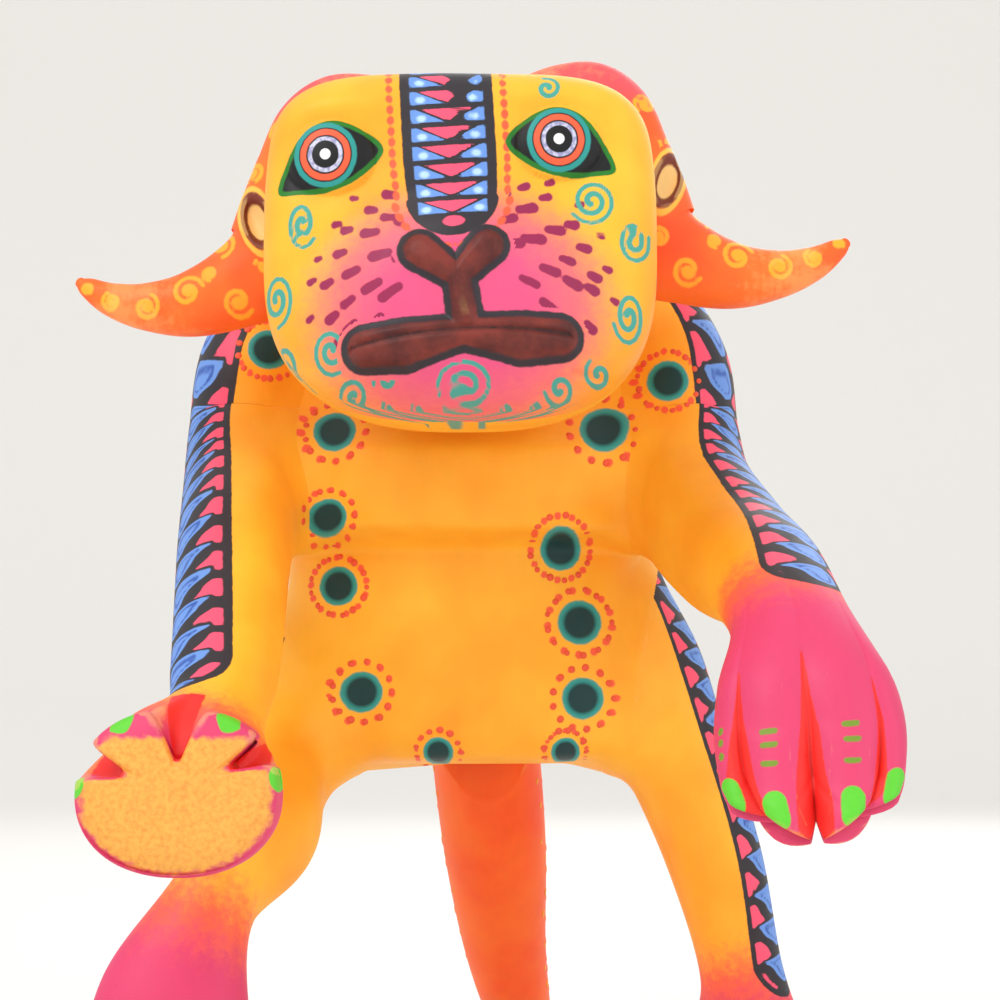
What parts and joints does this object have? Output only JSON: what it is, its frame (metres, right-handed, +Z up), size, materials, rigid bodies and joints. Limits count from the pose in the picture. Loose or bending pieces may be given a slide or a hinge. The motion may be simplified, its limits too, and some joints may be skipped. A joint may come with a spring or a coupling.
{
  "type": "carved animal figure",
  "caption": "Carved and painted wooden cat creature that walks upright on its hind paws and tail, with pull-off ears and tail.",
  "frame": {"origin": "on the ground, at the middle of the bounding box's base", "axes": "+Z up, the face looks along -Y, the creature's left side is +X"},
  "size_m": [0.1282, 0.17, 0.1755],
  "materials": {
    "yellow_paint": "matt yellow-orange paint over carved wood",
    "orange_paint": "matt red-orange paint over carved wood",
    "bare_wood": "bare turned wood"
  },
  "bodies": {
    "figure": {"torso": "yellow_paint", "head": "yellow_paint", "neck_dowel": "bare_wood", "right_foreleg": "yellow_paint", "left_foreleg": "yellow_paint", "right_hind_leg": "yellow_paint", "left_hind_leg": "yellow_paint", "right_shoulder_dowel": "bare_wood", "left_shoulder_dowel": "bare_wood", "right_hip_dowel": "bare_wood", "left_hip_dowel": "bare_wood"},
    "ear_right": {"right_ear": "orange_paint", "right_ear_peg": "bare_wood"},
    "ear_left": {"left_ear": "orange_paint", "left_ear_peg": "bare_wood"},
    "tail": {"tail": "orange_paint", "tail_peg": "bare_wood"}
  },
  "joints": [
    {"name": "right_ear_pull", "type": "slide", "parent": "figure", "child": "ear_right", "axis": [-1, 0, 0], "range_m": [0, 0.03]},
    {"name": "left_ear_pull", "type": "slide", "parent": "figure", "child": "ear_left", "axis": [1, 0, 0], "range_m": [0, 0.03]},
    {"name": "tail_pull", "type": "slide", "parent": "figure", "child": "tail", "axis": [0, 1, 0], "range_m": [0, 0.04]}
  ]
}
